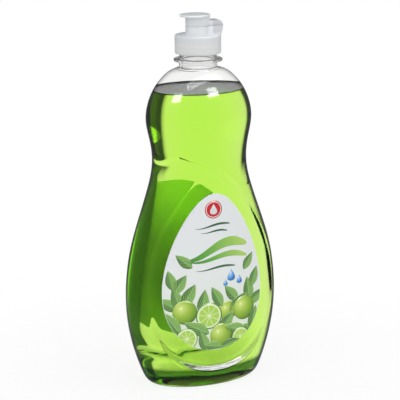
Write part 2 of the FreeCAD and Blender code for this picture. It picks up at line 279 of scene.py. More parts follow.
def tube(bm, count, columns):
    """Open tube of unit radius whose rings lie at the heights 0, 1, 2 and so on."""
    ring = bmesh.ops.create_circle(bm, radius=1.0, segments=columns)["verts"]
    edges = list({edge for vert in ring for edge in vert.link_edges})
    for level in range(1, count):
        made = bmesh.ops.extrude_edge_only(bm, edges=edges)["geom"]
        edges = [item for item in made if isinstance(item, bmesh.types.BMEdge)]
        for item in made:
            if isinstance(item, bmesh.types.BMVert):
                item.co.z = level
    return edges


def level_points(level, angle):
    """Points of one level of a tube: (inset, run) on the blown skin, or (None, radius, height)."""
    if level[0] is None:
        radius, height = level[1:]
        x, y = radius * np.sin(angle), -radius * np.cos(angle)
        return np.stack([x, y, np.full(len(angle), height)], axis=1)
    return blown_skin(angle, np.full(len(angle), float(level[1])), level[0])


def place_rings(bm, levels):
    """Move the points of a tube to its levels."""
    verts = list(bm.verts)
    co = np.array([vert.co[:] for vert in verts])
    angle = np.arctan2(co[:, 0], co[:, 1])
    low = np.minimum(co[:, 2].astype(int), len(levels) - 2)
    share = co[:, 2] - low
    places = np.zeros_like(co)
    for k, (start, end) in enumerate(zip(levels, levels[1:])):
        mine = low == k
        if not mine.any():
            continue
        turn, part = angle[mine], share[mine]
        if start[0] is not None and end[0] is not None:
            places[mine] = blown_skin(turn, start[1] + part * (end[1] - start[1]), start[0])
        else:
            first, last = level_points(start, turn), level_points(end, turn)
            places[mine] = first + (last - first) * part[:, None]
    for vert, place in zip(verts, places):
        vert.co = place * MM


def refine_creases(bm, levels, passes):
    """Divide the faces near the creases of the panels. A pass has its reach, and the softest crease and
    the deepest inset that it takes."""
    for reach, softest, deepest in passes:
        edges = list(bm.edges)
        co = np.array([(edge.verts[0].co + edge.verts[1].co)[:] for edge in edges]) / 2
        angle = np.arctan2(co[:, 0], co[:, 1])
        low = np.minimum(co[:, 2].astype(int), len(levels) - 2)
        skin = np.array([levels[k][0] is not None and levels[k + 1][0] is not None for k in low])
        run = np.array([levels[k][1] + (c - k) * (levels[k + 1][1] - levels[k][1])
                        if good else -1.0 for k, c, good in zip(low, co[:, 2], skin)])
        inset = np.array([levels[k][0] if good else 0.0 for k, good in zip(low, skin)])
        spot = blown_skin(angle, run, inset)
        softness = np.interp(spot[:, 2], CREASE_SOFTNESS[:, 0], CREASE_SOFTNESS[:, 1])
        near = np.abs(inside_crease(spot[:, 0], spot[:, 2])) < reach
        near &= skin & (run > 0) & (softness <= softest) & (inset <= deepest)
        chosen = [edge for edge, yes in zip(edges, near) if yes]
        bmesh.ops.subdivide_edges(bm, edges=chosen, cuts=1, use_grid_fill=True)


def close_ring(bm, edges, centre, material_index=0):
    """Fan of faces from a ring to a point on the axis."""
    made = bmesh.ops.extrude_edge_only(bm, edges=edges)["geom"]
    for item in made:
        if isinstance(item, bmesh.types.BMFace):
            item.material_index = material_index
    verts = [item for item in made if isinstance(item, bmesh.types.BMVert)]
    bmesh.ops.pointmerge(bm, verts=verts, merge_co=centre)


def end_rings(bm):
    """Edges of the first and of the last ring of a tube that isn't placed yet."""
    ends = [edge for edge in bm.edges if edge.is_boundary]
    first = [edge for edge in ends if max(vert.co.z for vert in edge.verts) < 0.5]
    last = [edge for edge in ends if min(vert.co.z for vert in edge.verts) > 0.5]
    return first, last


def finish_mesh(bm, name, body, *materials):
    """Turn a bmesh into a smooth piece that rides on a body of the frame."""
    mesh = bpy.data.meshes.new(name)
    bm.to_mesh(mesh)
    bm.free()
    mesh.shade_smooth()
    for material in materials:
        mesh.materials.append(material)
    piece = bpy.data.objects.new(name, mesh)
    bpy.context.scene.collection.objects.link(piece)
    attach(piece, body)
    return piece


def new_material(name):
    """Material with a lone Principled BSDF; gives the material, its nodes, links and the shader."""
    material = bpy.data.materials.new(name)
    material.use_nodes = True
    nodes, links = material.node_tree.nodes, material.node_tree.links
    return material, nodes, links, nodes["Principled BSDF"]


def calculate(nodes, links, operation, *values):
    """Math node of numbers and sockets, gives its result."""
    node = nodes.new("ShaderNodeMath")
    node.operation = operation
    for socket, value in zip(node.inputs, values):
        if isinstance(value, (int, float)):
            socket.default_value = value
        else:
            links.new(value, socket)
    return node.outputs["Value"]


def ease(nodes, links, value, low, high):
    """Rises smoothly from 0 to 1 while the value goes from low to high."""
    node = nodes.new("ShaderNodeMapRange")
    node.interpolation_type = "SMOOTHSTEP"
    links.new(value, node.inputs["Value"])
    node.inputs["From Min"].default_value = low
    node.inputs["From Max"].default_value = high
    return node.outputs["Result"]


def ramp(nodes, links, value, stops):
    """Colours along a value: stops of place and colour."""
    node = nodes.new("ShaderNodeValToRGB")
    elements = node.color_ramp.elements
    while len(elements) < len(stops):
        elements.new(0.5)
    for element, (place, colour) in zip(elements, stops):
        element.position = place
        element.color = (*colour, 1)
    links.new(value, node.inputs["Fac"])
    return node.outputs["Color"]


def mix_colours(nodes, links, share, first, second):
    """Goes from the first colour to the second with the share: each is a colour or a socket."""
    node = nodes.new("ShaderNodeMix")
    node.data_type = "RGBA"
    links.new(share, node.inputs["Factor"])
    for name, value in (("A", first), ("B", second)):
        if isinstance(value, tuple):
            node.inputs[name].default_value = value
        else:
            links.new(value, node.inputs[name])
    return node.outputs["Result"]


def colour_product(nodes, links, first, second):
    """One colour times the other."""
    node = nodes.new("ShaderNodeVectorMath")
    node.operation = "MULTIPLY"
    links.new(first, node.inputs[0])
    links.new(second, node.inputs[1])
    return node.outputs["Vector"]


def object_place(nodes, links):
    """X, Y and Z of the point that is shaded."""
    coords = nodes.new("ShaderNodeTexCoord")
    parts = nodes.new("ShaderNodeSeparateXYZ")
    links.new(coords.outputs["Object"], parts.inputs["Vector"])
    return parts.outputs["X"], parts.outputs["Y"], parts.outputs["Z"]


# Low bumps of cloudy noise all over a surface, placed in each material with its own values
grain = bpy.data.node_groups.new("grain", "ShaderNodeTree")
for name in ("Scale", "Detail", "Depth"):
    grain.interface.new_socket(name, in_out="INPUT", socket_type="NodeSocketFloat")
grain.interface.new_socket("Normal", in_out="OUTPUT", socket_type="NodeSocketVector")
nodes, links = grain.nodes, grain.links
given = nodes.new("NodeGroupInput")
result = nodes.new("NodeGroupOutput")
coords = nodes.new("ShaderNodeTexCoord")
noise = nodes.new("ShaderNodeTexNoise")
bump = nodes.new("ShaderNodeBump")
links.new(coords.outputs["Object"], noise.inputs["Vector"])
links.new(given.outputs["Scale"], noise.inputs["Scale"])
links.new(given.outputs["Detail"], noise.inputs["Detail"])
links.new(noise.outputs["Fac"], bump.inputs["Height"])
links.new(given.outputs["Depth"], bump.inputs["Distance"])
links.new(bump.outputs["Normal"], result.inputs["Normal"])


def add_grain(nodes, links, shader, scale, detail, depth):
    """Give a surface grain: a larger scale is finer, and the depth is in millimetres."""
    placed = nodes.new("ShaderNodeGroup")
    placed.node_tree = grain
    placed.inputs["Scale"].default_value = scale
    placed.inputs["Detail"].default_value = detail
    placed.inputs["Depth"].default_value = depth * MM
    links.new(placed.outputs["Normal"], shader.inputs["Normal"])


def facing_away(nodes):
    """Is 0 where a surface is seen square on and 1 at its rim."""
    weight = nodes.new("ShaderNodeLayerWeight")
    weight.inputs["Blend"].default_value = 0.5
    return weight.outputs["Facing"]


def make_clear(shader, bending, passing=1.0, coat=0.0):
    """Clear stuff: its index of refraction, the share of light that passes, and the weight of its coat."""
    shader.inputs["Roughness"].default_value = 0.0
    shader.inputs["IOR"].default_value = bending
    shader.inputs["Transmission Weight"].default_value = passing
    if coat:
        shader.inputs["Coat Weight"].default_value = coat
        shader.inputs["Coat Roughness"].default_value = COAT_ROUGHNESS
        shader.inputs["Coat IOR"].default_value = PLASTIC_BENDING


# Faint waves that blowing leaves in the wall: scale, detail, depth
BLOWN_WAVES = (55.0, 1.0, 0.10)
COAT_ROUGHNESS = 0.12
PLASTIC_BENDING = 1.5
WHITE_LIGHT = (1, 1, 1)

clear_plastic, nodes, links, shader = new_material("clear_plastic")
# Its colour is painted darker at the rim: painted shade, for the dark room seen through it at a shallow
# angle.
rim = ease(nodes, links, facing_away(nodes), 0.55, 0.95)
links.new(ramp(nodes, links, rim, [(0, (0.985, 0.985, 0.98)), (1, (0.45, 0.45, 0.44))]),
          shader.inputs["Base Color"])
add_grain(nodes, links, shader, *BLOWN_WAVES)
make_clear(shader, PLASTIC_BENDING, passing=0.86)

# The dry blown wall above the soap is too thin to bend light, and a thin coat gives its gloss.
dry_wall, nodes, links, shader = new_material("dry_wall")
# Its colour is painted darker at the rim: painted shade, for the dark room seen through it at a shallow
# angle.
rim = ease(nodes, links, facing_away(nodes), 0.45, 0.95)
links.new(ramp(nodes, links, rim, [(0, (0.93, 0.925, 0.915)), (1, (0.20, 0.20, 0.19))]),
          shader.inputs["Base Color"])
add_grain(nodes, links, shader, *BLOWN_WAVES)
make_clear(shader, 1.04, coat=0.3)

# Where soap wets the wall the two bend light together as soap alone does, so the wet wall and the
# soap share the bending, the coat gives the plastic's gloss, and the inner face doesn't show.
# Light that would enter or leave it at a shallow angle comes from the dark sides of a room, so its colour
# is painted dark there: painted shade.
ENTERING_DIM = (0.56, 0.72)
LEAVING_DIM = (0.26, 0.34)
ABOVE_LABEL = (136.0 * MM, 150.0 * MM)
GRAZING_PAINTED_SHADE = (0.0015, 0.003, 0.001)
# The heel, the thickest wall, is painted dark, and the wall is painted dark where the soap ends on it: both
# are painted shade
HEEL_TOP = 20.0
HEEL_PAINTED_SHADE = (0.012, 0.05, 0.002)
BRIM = ((FILL_HEIGHT - 0.1) * MM, (FILL_HEIGHT + 0.5) * MM)
BRIM_PAINTED_SHADE = (0.01, 0.06, 0.004)

wet_plastic, nodes, links, shader = new_material("wet_plastic")
facing = facing_away(nodes)
backfacing = nodes.new("ShaderNodeNewGeometry").outputs["Backfacing"]
ray = nodes.new("ShaderNodeLightPath")
straight = calculate(nodes, links, "LESS_THAN", ray.outputs["Diffuse Depth"], 0.5)
height = object_place(nodes, links)[2]
leaving = calculate(nodes, links, "MULTIPLY", ease(nodes, links, facing, *LEAVING_DIM), straight)
leaving = calculate(nodes, links, "MULTIPLY", leaving, ease(nodes, links, height, *ABOVE_LABEL))
pick = nodes.new("ShaderNodeMix")
links.new(backfacing, pick.inputs["Factor"])
links.new(ease(nodes, links, facing, *ENTERING_DIM), pick.inputs["A"])
links.new(leaving, pick.inputs["B"])
# Painted shade: the colour goes dark where the wall is met or left at a shallow angle.
grazing_shade = ramp(nodes, links, pick.outputs["Result"], [(0, WHITE_LIGHT), (1, GRAZING_PAINTED_SHADE)])
# Painted shade on the heel and along the soap's edge on the wall
heel_shade = ramp(nodes, links, calculate(nodes, links, "DIVIDE", height, HEEL_TOP * MM), [
    (0.0, WHITE_LIGHT), (0.18, WHITE_LIGHT), (0.40, HEEL_PAINTED_SHADE), (0.72, HEEL_PAINTED_SHADE), (0.88, WHITE_LIGHT)])
brim_shade = ramp(nodes, links, ease(nodes, links, height, *BRIM), [(0.0, WHITE_LIGHT), (1.0, BRIM_PAINTED_SHADE)])
outside = mix_colours(nodes, links, backfacing, colour_product(nodes, links, heel_shade, brim_shade), (1, 1, 1, 1))
links.new(colour_product(nodes, links, grazing_shade, outside), shader.inputs["Base Color"])
add_grain(nodes, links, shader, *BLOWN_WAVES)
make_clear(shader, 1.22, coat=1.0)

# The inner face of the blown wall is there for the shape alone
inner_face, nodes, links, shader = new_material("inner_face")
shader.inputs["Alpha"].default_value = 0.0

CLEAR, WET, INNER, DRY = range(4)
# Reach from the crease, softest crease and deepest inset of each division of its faces
WALL_PASSES = ((3.8, SOFTEST, BODY_WALL), (3.1, 3.0, 0.0))

skin_steps = wet_steps + dry_steps
wall_levels = [(0.0, step) for step in skin_steps]
wall_levels += [(None, point.x, point.y) for point in rounded_line(NECK_LINE)]
wall_levels += [(BODY_WALL, step) for step in reversed(skin_steps)]
skin_rings, wet_rings, all_rings = len(skin_steps), len(wet_steps), len(wall_levels)

bm = bmesh.new()
tube(bm, len(wall_levels), COLUMNS)
refine_creases(bm, wall_levels, WALL_PASSES)
first_ring, last_ring = end_rings(bm)
for face in bm.faces:
    level = face.calc_center_median().z
    if level < skin_rings - 1:
        face.material_index = WET if level < wet_rings - 1 else DRY
    else:
        face.material_index = INNER if level > all_rings - skin_rings else CLEAR
place_rings(bm, wall_levels)
close_ring(bm, first_ring, (0, 0, DOME_HEIGHT * MM), WET)
close_ring(bm, last_ring, (0, 0, (DOME_HEIGHT + BODY_WALL) * MM), INNER)
bmesh.ops.recalc_face_normals(bm, faces=bm.faces)
bottle = finish_mesh(bm, "blown_bottle", "bottle", clear_plastic, wet_plastic, inner_face, dry_wall)
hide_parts("bottle")

# Liquid soap: clear green, filled to just under the shoulder. It wets the wall, so its edge climbs
# a little all round.

WETTING = 0.35
# Rings of the surface from the wall inwards: share of its size, drop below the edge, kind of face
SIDE, SURFACE, EDGE = range(3)
SURFACE_RINGS = (
    (0.99, 0.35, EDGE), (0.975, 0.62, EDGE), (0.95, 0.8, SURFACE), (0.9, 0.88, SURFACE),
    (0.7, 0.9, SURFACE), (0.35, 0.9, SURFACE))
# Name, bending and tint of the faces that wet the wall, of the open surface and of its edge. The dark tints
# of the open surface and of its edge are painted shade.
SOAP_FACES = (
    ("soap_liquid", 1.11, (1, 1, 1, 1)), ("soap_surface", 1.35, (0.03, 0.03, 0.03, 1)),
    ("soap_edge", 1.35, (0.0008, 0.008, 0.0005, 1)))
SOAP_COLOUR = (0.755, 0.985, 0.03, 1)
SOAP_DENSITY = 45

soap_materials = []
for name, bending, painted_shade_tint in SOAP_FACES:
    material, nodes, links, shader = new_material(name)
    # Painted shade: the open surface and its edge let through only a little light
    shader.inputs["Base Color"].default_value = painted_shade_tint
    make_clear(shader, bending)
    absorb = nodes.new("ShaderNodeVolumeAbsorption")
    absorb.inputs["Color"].default_value = SOAP_COLOUR
    absorb.inputs["Density"].default_value = SOAP_DENSITY
    links.new(absorb.outputs["Volume"], nodes["Material Output"].inputs["Volume"])
    soap_materials.append(material)

liquid_levels = [(WETTING, step) for step in wet_steps]

bm = bmesh.new()
tube(bm, len(liquid_levels), COLUMNS)
refine_creases(bm, liquid_levels, ((5.0, SOFTEST, WETTING),))
first_ring, last_ring = end_rings(bm)
place_rings(bm, liquid_levels)
close_ring(bm, first_ring, (0, 0, (DOME_HEIGHT + WETTING) * MM), SIDE)
for shrink, drop, kind in SURFACE_RINGS:
    made = bmesh.ops.extrude_edge_only(bm, edges=last_ring)["geom"]
    verts = [item for item in made if isinstance(item, bmesh.types.BMVert)]
    last_ring = [item for item in made if isinstance(item, bmesh.types.BMEdge)]
    for item in made:
        if isinstance(item, bmesh.types.BMFace):
            item.material_index = kind
    reach = max(vert.co.x for vert in verts)
    full = shrink * float(body_half_width(WET_END) - WETTING) * MM
    for vert in verts:
        vert.co.x *= full / reach
        vert.co.y *= full / reach
        vert.co.z = (FILL_HEIGHT + MENISCUS - drop) * MM
close_ring(bm, last_ring, (0, 0, FILL_HEIGHT * MM), SURFACE)
bmesh.ops.recalc_face_normals(bm, faces=bm.faces)
soap = finish_mesh(bm, "soap_filling", "bottle", *soap_materials)
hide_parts("liquid_soap")

# Labels: white plastic film, cut egg-shaped and stuck on the pressed panels. They are printed with
# limes, leaves, drops and bands, and a red seal above them.

# Height of the film's face over the bare panel, of each layer of print over it, and of the ink
FILM_FACE = 0.20
INK_STEP = 0.03
INK = 0.02
LABEL_MIDDLE = 83.5
LABEL_HALF_HEIGHT = 55.5
LABEL_HALF_WIDTH = 35.5
LABEL_TAPER = 0.29
# Share of the label's outline that the print keeps inside
LABEL_MARGIN = 0.99
PRINT_ROUGHNESS = 0.32
# The film turns greener towards the bottom
FILM_WHITE = (0.80, 0.825, 0.835)
FILM_GREEN = (0.74, 0.84, 0.66)
FILM_TURN = (30.0 * MM, 95.0 * MM)

label_film, nodes, links, shader = new_material("label_film")
height = ease(nodes, links, object_place(nodes, links)[2], *FILM_TURN)
links.new(ramp(nodes, links, height, [(0, FILM_GREEN), (1, FILM_WHITE)]), shader.inputs["Base Color"])
shader.inputs["Roughness"].default_value = PRINT_ROUGHNESS
add_grain(nodes, links, shader, 900, 2.0, 0.01)
for name in ("front_label", "back_label"):
    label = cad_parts[name]
    for slot in label.material_slots:
        slot.material = label_film


def new_ink(name):
    """Satin ink; gives its material, nodes, links, shader, and how far across and along the patch."""
    material, nodes, links, shader = new_material(name)
    shader.inputs["Roughness"].default_value = PRINT_ROUGHNESS
    chart = nodes.new("ShaderNodeUVMap")
    chart.uv_map = "print"
    parts = nodes.new("ShaderNodeSeparateXYZ")
    links.new(chart.outputs["UV"], parts.inputs["Vector"])
    across = calculate(nodes, links, "MULTIPLY_ADD", parts.outputs["X"], 2.0, -1.0)
    along = calculate(nodes, links, "MULTIPLY_ADD", parts.outputs["Y"], 2.0, -1.0)
    return material, nodes, links, shader, across, along


def distance_from(nodes, links, across, along, x, y):
    """Distance over a patch from one spot of it."""
    dx = calculate(nodes, links, "SUBTRACT", across, x)
    dy = calculate(nodes, links, "SUBTRACT", along, y)
    squares = calculate(nodes, links, "MULTIPLY_ADD", dx, dx, calculate(nodes, links, "MULTIPLY", dy, dy))
    return calculate(nodes, links, "SQRT", squares)


def round_ink(name, stops):
    """Ink shaded like a round thing lit from the upper left."""
    material, nodes, links, shader, across, along = new_ink(name)
    reach = distance_from(nodes, links, across, along, -0.32, 0.36)
    links.new(ramp(nodes, links, calculate(nodes, links, "MULTIPLY", reach, 0.66), stops),
              shader.inputs["Base Color"])
    return material


lime_ink = round_ink("lime_ink", [
    (0.0, (0.90, 0.97, 0.62)), (0.10, (0.62, 0.78, 0.20)), (0.45, (0.36, 0.55, 0.06)),
    (0.78, (0.19, 0.38, 0.03)), (1.0, (0.06, 0.17, 0.02))])
drop_ink = round_ink("drop_ink", [
    (0.0, (0.85, 0.95, 1.0)), (0.22, (0.40, 0.66, 0.92)), (0.7, (0.05, 0.25, 0.68)),
    (1.0, (0.02, 0.12, 0.42))])

# A leaf has a pale middle vein with slanting side veins, and one half lighter than the other
leaf_ink, nodes, links, shader, across, along = new_ink("leaf_ink")
side = calculate(nodes, links, "ABSOLUTE", across)
slant = calculate(nodes, links, "MULTIPLY_ADD", side, -2.6, calculate(nodes, links, "MULTIPLY", along, 4.2))
vein = calculate(nodes, links, "PINGPONG", slant, 0.5)
vein = calculate(nodes, links, "MINIMUM", calculate(nodes, links, "MULTIPLY", vein, 1.4),
                 calculate(nodes, links, "MULTIPLY", side, 3.0))
blade = ramp(nodes, links, calculate(nodes, links, "MULTIPLY_ADD", across, 0.5, 0.5), [
    (0.0, (0.03, 0.13, 0.02)), (0.48, (0.07, 0.24, 0.03)), (0.52, (0.14, 0.36, 0.06)),
    (1.0, (0.24, 0.47, 0.10))])
blade_share = ease(nodes, links, vein, 0.05, 0.26)
links.new(mix_colours(nodes, links, blade_share, (0.42, 0.62, 0.25, 1), blade), shader.inputs["Base Color"])

# A slice has nine parts of flesh between pale skins, inside a pale and then a green rind
slice_ink, nodes, links, shader, across, along = new_ink("slice_ink")
reach = distance_from(nodes, links, across, along, 0.0, 0.0)
turn = calculate(nodes, links, "ARCTAN2", along, across)
pips = calculate(nodes, links, "ABSOLUTE", calculate(
    nodes, links, "SINE", calculate(nodes, links, "MULTIPLY", turn, 4.5)))
skin = calculate(nodes, links, "MULTIPLY", pips, reach)
flesh = ramp(nodes, links, ease(nodes, links, skin, 0.03, 0.16), [
    (0.0, (0.80, 0.90, 0.55)), (1.0, (0.42, 0.68, 0.10))])
rind = ramp(nodes, links, reach, [
    (0.0, (0.80, 0.90, 0.55)), (0.78, (0.80, 0.90, 0.55)), (0.88, (0.86, 0.93, 0.66)),
    (0.93, (0.16, 0.40, 0.04)), (1.0, (0.08, 0.26, 0.02))])
rind_share = ease(nodes, links, reach, 0.76, 0.82)
links.new(mix_colours(nodes, links, rind_share, flesh, rind), shader.inputs["Base Color"])

band_ink, nodes, links, shader, across, along = new_ink("band_ink")
links.new(ramp(nodes, links, calculate(nodes, links, "MULTIPLY_ADD", across, 0.5, 0.5), [
    (0.0, (0.05, 0.22, 0.04)), (0.35, (0.13, 0.42, 0.06)), (1.0, (0.48, 0.72, 0.16))]),
          shader.inputs["Base Color"])

seal_ink, nodes, links, shader, across, along = new_ink("seal_ink")
links.new(ramp(nodes, links, distance_from(nodes, links, across, along, 0.0, 0.0), [
    (0.0, (0.62, 0.02, 0.03)), (0.80, (0.60, 0.015, 0.025)), (0.82, (0.86, 0.86, 0.86)),
    (0.88, (0.86, 0.86, 0.86)), (0.90, (0.60, 0.015, 0.025))]), shader.inputs["Base Color"])

white_ink, nodes, links, shader, across, along = new_ink("white_ink")
links.new(ramp(nodes, links, along, [(0.0, (0.72, 0.73, 0.74)), (1.0, (0.86, 0.87, 0.87))]),
          shader.inputs["Base Color"])

line_ink, nodes, links, shader, across, along = new_ink("line_ink")
links.new(ramp(nodes, links, across, [(0.0, (0.03, 0.12, 0.05)), (1.0, (0.09, 0.20, 0.10))]),
          shader.inputs["Base Color"])

INKS = [lime_ink, slice_ink, leaf_ink, drop_ink, band_ink, seal_ink, white_ink, line_ink]
LIME, SLICE, LEAF, DROP, BAND, SEAL, WHITE, LINE = range(len(INKS))
# Columns and rings of a printed patch
LONG_MESH = (72, 12)
ROUND_MESH = (36, 5)


def outline_point(ink, x, y):
    """Point of a unit disc bent to the outline of what is printed: a leaf and a drop are pointed and
    broadest low down, and a band or line swells towards one end and waves."""
    if ink == LEAF:
        return x * math.sqrt(max(0, 1 - y * y)) * (1 - 0.3 * y) * 0.95, y
    if ink in (DROP, WHITE):
        return x * (1 - y) * 0.72, y
    if ink in (BAND, LINE):
        return x, y * (0.4 + 0.25 * x) + 0.62 * math.sin(2.6 * x + 0.5)
    return x, y


def print_patch(bm, face, ink, x, z, width, height, turn=0, layer=1):
    """Print one thing on a label: millimetres from its middle line and from the foot, degrees."""
    columns, rings = LONG_MESH if ink in (BAND, LINE) else ROUND_MESH
    first_vert, first_face = len(bm.verts), len(bm.faces)
    rim = bmesh.ops.create_circle(bm, radius=1.0, segments=columns)["verts"]
    edges = list({edge for vert in rim for edge in vert.link_edges})
    for ring in range(rings - 1, 0, -1):
        made = bmesh.ops.extrude_edge_only(bm, edges=edges)["geom"]
        edges = [item for item in made if isinstance(item, bmesh.types.BMEdge)]
        for item in made:
            if isinstance(item, bmesh.types.BMVert):
                item.co *= ring / (ring + 1)
    close_ring(bm, edges, (0, 0, 0))
    verts = list(bm.verts)[first_vert:]
    chart = bm.loops.layers.uv["print"]
    for patch_face in list(bm.faces)[first_face:]:
        patch_face.material_index = ink
        for loop in patch_face.loops:
            loop[chart].uv = (loop.vert.co.x / 2 + 0.5, loop.vert.co.y / 2 + 0.5)
    across, up = math.cos(math.radians(turn)), math.sin(math.radians(turn))
    flat = np.array([outline_point(ink, vert.co.x, vert.co.y) for vert in verts]) * (width / 2, height / 2)
    flat_x = x + flat[:, 0] * across - flat[:, 1] * up
    flat_z = z + flat[:, 0] * up + flat[:, 1] * across
    rise = np.clip((flat_z - LABEL_MIDDLE) / LABEL_HALF_HEIGHT, -LABEL_MARGIN, LABEL_MARGIN)
    room = LABEL_MARGIN * LABEL_HALF_WIDTH * np.sqrt(1 - rise ** 2) * (1 - LABEL_TAPER * rise)
    flat_x = np.clip(flat_x, -room, room)
    flat_z = LABEL_MIDDLE + LABEL_HALF_HEIGHT * rise
    depth = panel_depth(flat_x, flat_z, FILM_FACE + INK_STEP * layer)
    for vert, px, py, pz in zip(verts, flat_x, depth, flat_z):
        vert.co = (-face * px * MM, face * py * MM, pz * MM)


def print_label(name, face, patches):
    """Print a label. Its face is -1 for the front and 1 for the back."""
    bm = bmesh.new()
    bm.loops.layers.uv.new("print")
    for patch in patches:
        print_patch(bm, face, *patch)
    bmesh.ops.recalc_face_normals(bm, faces=bm.faces)
    for patch_face in bm.faces:
        if patch_face.normal.y * face < 0:
            patch_face.normal_flip()
    piece = finish_mesh(bm, name, "bottle", *INKS)
    thickness = piece.modifiers.new("ink", "SOLIDIFY")
    thickness.thickness = INK * MM
    thickness.offset = -1


# Ink, place across, height, width, length, turn in degrees, layer
FRONT_PRINT = [
    (SEAL, -1.0, 128.0, 12.5, 12.5), (WHITE, -1.0, 128.4, 5.6, 7.6, 0, 2),
    (LINE, -1.5, 116.5, 26, 3.4, 2), (LINE, -0.5, 112.5, 20, 2.8, -2),
    (BAND, 0.0, 99.0, 50, 15, 4), (BAND, 3.0, 93.5, 44, 9, -3, 2), (LINE, 0.5, 86.5, 30, 3.4, 0),
    (LEAF, -22.0, 93.0, 7.5, 15, 48), (LEAF, 26.0, 88.0, 7, 14, -35),
    (DROP, 12.0, 80.5, 6.5, 9), (DROP, 18.5, 76.5, 4.6, 6.5, 0), (DROP, 7.5, 75.5, 3.6, 5.0),
    (LEAF, -31, 80, 7.5, 15, 12, 1), (LEAF, -25, 77, 8, 16, -34, 1), (LEAF, 31, 76, 7.5, 15, -20, 1),
    (LEAF, -33, 63, 8.5, 18, 62, 1), (LEAF, 12, 67, 8, 16, 40, 1), (LEAF, 33, 61, 8, 17, -60, 1),
    (LEAF, -27, 66, 9, 19, 20, 1), (LEAF, -19, 69, 9, 18, -30, 2), (LEAF, -9, 63, 9, 19, -8, 1),
    (LEAF, 1, 66, 8, 17, 28, 2), (LEAF, 26, 68, 9, 18, 8, 1), (LEAF, 18, 60, 9, 19, -52, 2),
    (LIME, -22, 57, 17, 17, 0, 3), (SLICE, -5, 53, 19, 19, 12, 3), (LIME, 22, 55, 17, 17, 0, 3),
    (LIME, 9, 55, 14, 14, 0, 2), (LEAF, -31, 50, 9, 19, 35, 4), (LEAF, -14, 45, 9.5, 20, 62, 4),
    (LEAF, 8, 47, 9, 19, -40, 4), (LEAF, -29, 41, 8, 17, -12, 3), (LEAF, 28, 38, 8, 16, 50, 3),
    (LEAF, 30, 46, 9, 18, -14, 4), (LEAF, 15, 41, 9, 20, 70, 5), (SLICE, -21, 38, 15, 15, -20, 5),
    (LIME, 4, 38, 17, 17, 0, 5), (LEAF, -9, 35, 8, 17, 18, 6), (SLICE, 19, 34.5, 14, 14, 30, 6),
    (LEAF, 11, 31, 8, 15, -75, 7), (LEAF, -2, 31, 8, 14, 80, 7)]
BACK_PRINT = [
    (SEAL, 0.0, 126.0, 9, 9), (WHITE, 0.0, 126.3, 4.0, 5.4, 0, 2),
    (BAND, 0.0, 108.0, 44, 10, 2), (LINE, 0.0, 98.5, 30, 3.0), (LINE, 0.0, 92.0, 36, 3.0),
    (LINE, 0.0, 85.5, 40, 3.0), (LINE, 0.0, 79.0, 44, 3.0), (LINE, 0.0, 72.5, 44, 3.0),
    (LEAF, -20, 55, 9, 19, 30, 1), (LEAF, -4, 52, 9, 19, -40, 1), (SLICE, -12, 49, 16, 16, 0, 2),
    (LEAF, 22, 52, 9, 18, -30, 1), (LIME, 12, 46, 16, 16, 0, 2), (LEAF, 2, 40, 9, 18, 60, 3)]
print_label("front_label_print", -1, FRONT_PRINT)
print_label("back_label_print", 1, BACK_PRINT)

# Cap: moulded in white plastic that lets a little light in. Its base screws on the neck, and the
# lid above the parting line turns at the tower. Every edge has the small round that moulding leaves.

EDGE_ROUND = 0.25
PARTING_ROUND = 0.06
PARTING_REACH = 0.4
FLAT_ANGLE = math.radians(0.3)
EDGE_ANGLE = math.radians(35)
SHARP_ANGLE = math.radians(32)
THREAD_PITCH = 3.2
# Below the plug the skirt is painted a little warmer, and the thread is painted faintly as though seen
# through it: painted light and shade of what lies behind the thin plastic
SKIRT_SHADE = (239.6 * MM, 238.6 * MM)
# Above the deck the thin turret is painted lighter and the thick tower darker, painted light and painted
# shade for the more light that the thin turret lets in than the thick tower does
TOWER_FOOT = (9.6 * MM, 8.2 * MM)
DECK = (243.5 * MM, 245.5 * MM)
TOWER_PAINTED_SHADE = 0.84
TURRET_PAINTED_LIGHT = 0.24

cap_plastic, nodes, links, shader = new_material("cap_plastic")
x, y, z = object_place(nodes, links)
coords = nodes.new("ShaderNodeTexCoord")
cloud = nodes.new("ShaderNodeTexNoise")
cloud.inputs["Scale"].default_value = 90
cloud.inputs["Detail"].default_value = 3
links.new(coords.outputs["Object"], cloud.inputs["Vector"])
turns = calculate(nodes, links, "MULTIPLY", z, 1 / (THREAD_PITCH * MM))
around = calculate(nodes, links, "ARCTAN2", x, y)
turns = calculate(nodes, links, "MULTIPLY_ADD", around, -1 / (2 * math.pi), turns)
# Painted light and shade: stripes of the thread as if seen through the skirt
painted_thread = ease(nodes, links, calculate(nodes, links, "PINGPONG", turns, 0.5), 0.30, 0.48)
low = ease(nodes, links, z, *SKIRT_SHADE)
painted_thread = calculate(nodes, links, "MULTIPLY", painted_thread, low)
tone = calculate(nodes, links, "MULTIPLY_ADD", low, 0.5, calculate(nodes, links, "MULTIPLY", painted_thread, 0.45))
tone = calculate(nodes, links, "MULTIPLY_ADD", cloud.outputs["Fac"], 0.15, tone)
white = ramp(nodes, links, tone, [(0.0, (0.715, 0.738, 0.765)), (0.15, (0.735, 0.755, 0.775)),
                                  (0.6, (0.760, 0.765, 0.765)), (1.0, (0.800, 0.802, 0.798))])
